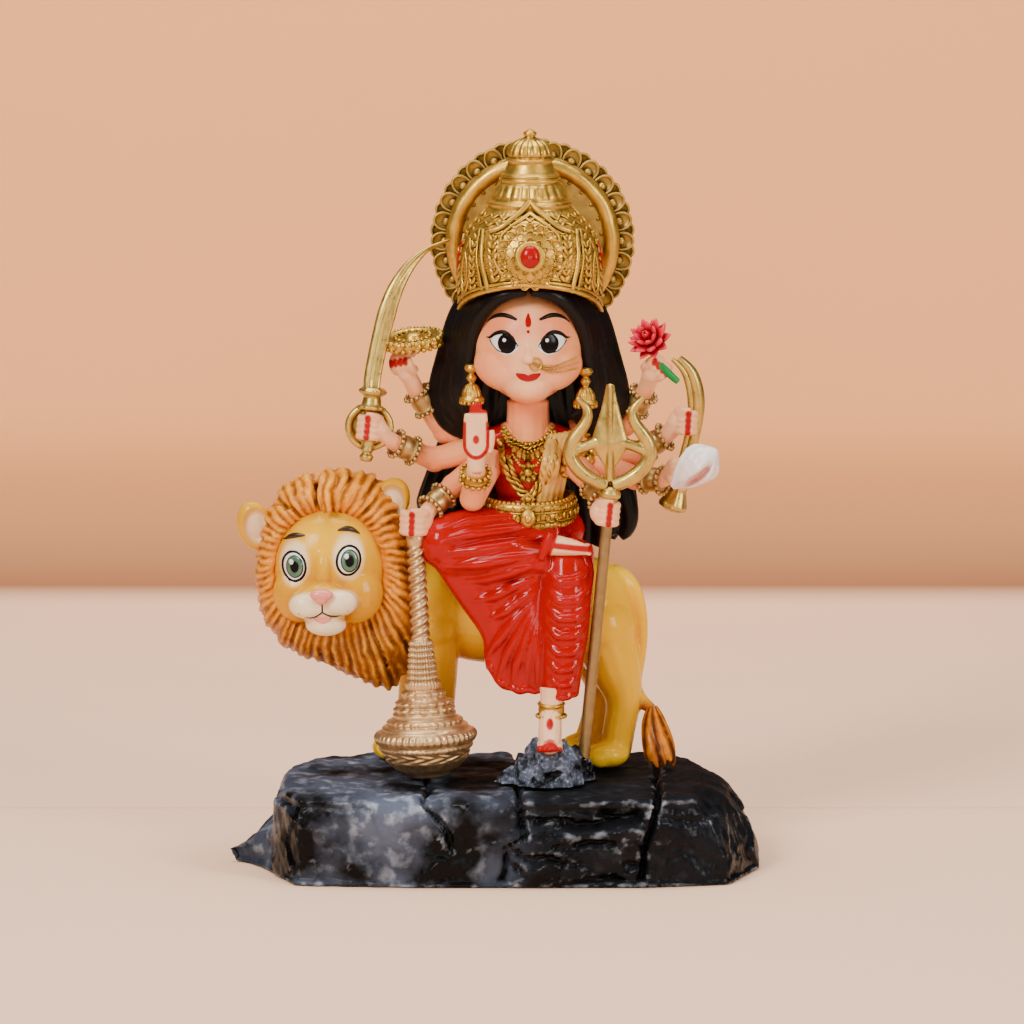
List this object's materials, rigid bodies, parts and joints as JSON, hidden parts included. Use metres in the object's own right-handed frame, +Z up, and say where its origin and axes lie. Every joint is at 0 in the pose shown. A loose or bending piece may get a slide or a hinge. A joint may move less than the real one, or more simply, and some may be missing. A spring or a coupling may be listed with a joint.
{
  "type": "deity figurine",
  "caption": "Painted cast-resin figurine: a crowned deity with many arms sits side-saddle on a standing lion, on a rock base, with a mace and trident.",
  "frame": {"origin": "middle of the flat underside of the rock base", "axes": "+Z up, -Y is the front that the deity and the lion's face look to, +X is the viewer's right, towards the lion's tail"},
  "size_m": [0.118, 0.06, 0.1626],
  "materials": {
    "stone": "semi-gloss black paint dry-brushed with grey and silver on cast resin",
    "lion_yellow": "glossy golden-yellow paint shaded with orange",
    "mane_brown": "glossy orange-brown paint over carved strands",
    "red_cloth": "glossy bright red paint over carved folds",
    "skin": "satin peach paint with red painted nails and palms",
    "gold_sash": "satin yellow-gold paint",
    "hair_black": "semi-gloss black-brown paint over carved locks",
    "antique_gold": "antique gold paint with a brown wash in the recesses",
    "gem_red": "glossy red paint",
    "lotus_petal": "satin pink-red paint",
    "stem_green": "satin green paint",
    "shell_white": "satin white paint with a pink tint"
  },
  "bodies": {
    "root": {"rock_base": "stone", "foot_rock": "stone", "lion_body": "lion_yellow", "lion_near_foreleg": "lion_yellow", "lion_far_foreleg": "lion_yellow", "lion_near_hindleg": "lion_yellow", "lion_far_hindleg": "lion_yellow", "lion_tail": "lion_yellow", "lion_face": "lion_yellow", "lion_right_ear": "lion_yellow", "lion_left_ear": "lion_yellow", "lion_mane": "mane_brown", "lion_tail_tuft": "mane_brown", "dhoti_folded_leg": "red_cloth", "dhoti_hanging_leg": "red_cloth", "dhoti_pleats": "red_cloth", "torso": "red_cloth", "standing_foot": "skin", "folded_foot": "skin", "head": "skin", "arm_sword": "skin", "arm_chakra": "skin", "arm_blessing": "skin", "arm_mace": "skin", "arm_trident": "skin", "arm_conch": "skin", "arm_bow": "skin", "arm_lotus": "skin", "sash": "gold_sash", "hair_cap": "hair_black", "hair_back": "hair_black", "anklet": "antique_gold", "belt": "antique_gold", "right_earring": "antique_gold", "left_earring": "antique_gold", "choker": "antique_gold", "long_necklace": "antique_gold", "halo": "antique_gold", "crown": "antique_gold", "crown_rosette": "antique_gold", "sword": "antique_gold", "mace": "antique_gold", "trident_shaft": "antique_gold", "trident_head": "antique_gold", "bow": "antique_gold", "chakra": "antique_gold", "cuff_sword": "antique_gold", "cuff_chakra": "antique_gold", "cuff_blessing": "antique_gold", "cuff_mace": "antique_gold", "cuff_trident": "antique_gold", "cuff_conch": "antique_gold", "cuff_bow": "antique_gold", "cuff_lotus": "antique_gold", "crown_gem": "gem_red", "lotus_flower": "lotus_petal", "lotus_stem": "stem_green", "conch": "shell_white"}
  },
  "joints": []
}
